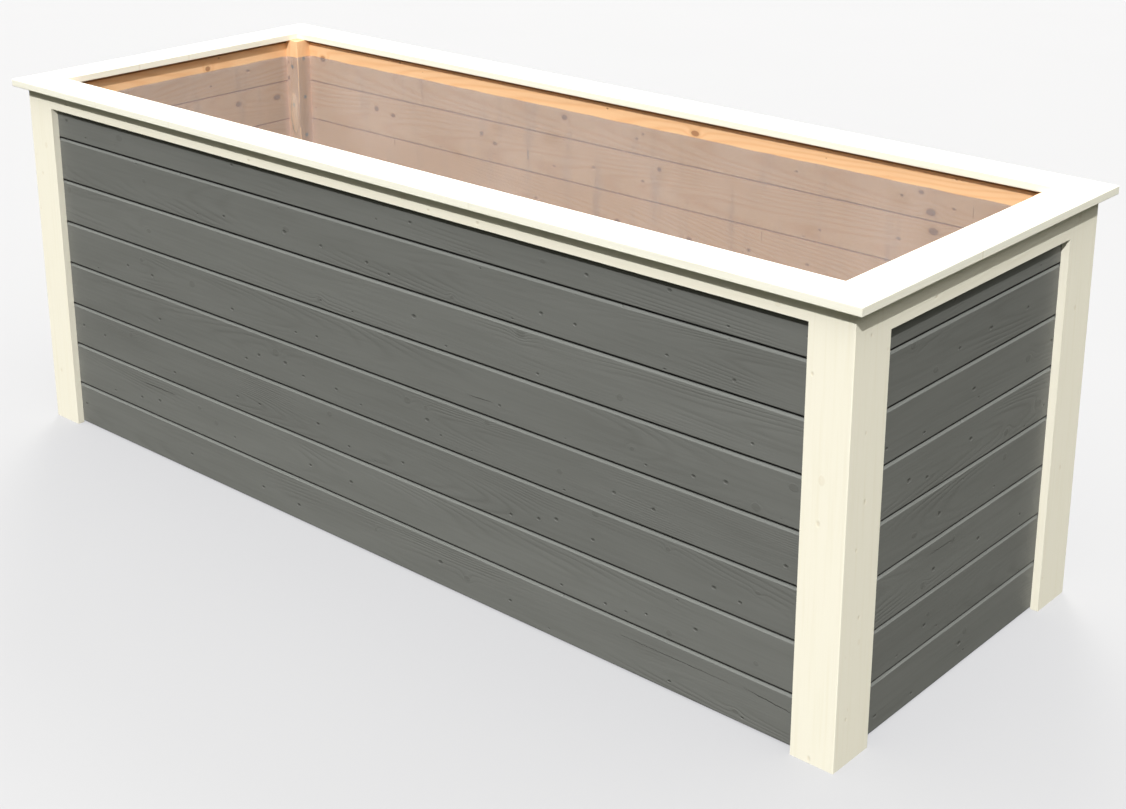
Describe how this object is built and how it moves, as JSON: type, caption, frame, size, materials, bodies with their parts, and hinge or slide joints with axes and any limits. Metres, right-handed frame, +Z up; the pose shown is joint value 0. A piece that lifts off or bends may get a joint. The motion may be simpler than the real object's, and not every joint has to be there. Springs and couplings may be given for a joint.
{
  "type": "raised planter",
  "caption": "Rectangular raised bed of horizontal painted tongue and groove boards with light corner boards, a mitred cap frame and a film liner.",
  "frame": {"origin": "on the ground, under the middle of the bed", "axes": "+X along the long sides, +Y along the short sides, +Z up"},
  "size_m": [2.176, 0.824, 0.795],
  "materials": {
    "painted_cladding": "satin grey paint over spruce, raw on the inside",
    "painted_trim": "satin off-white paint over spruce",
    "painted_cap": "satin off-white paint over spruce",
    "raw_spruce": "planed, unpainted",
    "film": "milky translucent film",
    "screw_steel": "zinc plated"
  },
  "bodies": {
    "root": {"front_board_1": "painted_cladding", "front_board_2": "painted_cladding", "front_board_3": "painted_cladding", "front_board_4": "painted_cladding", "front_board_5": "painted_cladding", "front_board_6": "painted_cladding", "front_board_7": "painted_cladding", "front_board_8": "painted_cladding", "rear_board_1": "painted_cladding", "rear_board_2": "painted_cladding", "rear_board_3": "painted_cladding", "rear_board_4": "painted_cladding", "rear_board_5": "painted_cladding", "rear_board_6": "painted_cladding", "rear_board_7": "painted_cladding", "rear_board_8": "painted_cladding", "left_board_1": "painted_cladding", "left_board_2": "painted_cladding", "left_board_3": "painted_cladding", "left_board_4": "painted_cladding", "left_board_5": "painted_cladding", "left_board_6": "painted_cladding", "left_board_7": "painted_cladding", "left_board_8": "painted_cladding", "right_board_1": "painted_cladding", "right_board_2": "painted_cladding", "right_board_3": "painted_cladding", "right_board_4": "painted_cladding", "right_board_5": "painted_cladding", "right_board_6": "painted_cladding", "right_board_7": "painted_cladding", "right_board_8": "painted_cladding", "post_front_left": "raw_spruce", "post_front_right": "raw_spruce", "post_rear_left": "raw_spruce", "post_rear_right": "raw_spruce", "corner_face_front_left": "painted_trim", "corner_side_front_left": "painted_trim", "corner_face_front_right": "painted_trim", "corner_side_front_right": "painted_trim", "corner_face_rear_left": "painted_trim", "corner_side_rear_left": "painted_trim", "corner_face_rear_right": "painted_trim", "corner_side_rear_right": "painted_trim", "trim_front": "painted_trim", "trim_rear": "painted_trim", "trim_left": "painted_trim", "trim_right": "painted_trim", "cap_front": "painted_cap", "cap_rear": "painted_cap", "cap_left": "painted_cap", "cap_right": "painted_cap", "film_liner": "film", "post_screws": "screw_steel"}
  },
  "joints": []
}
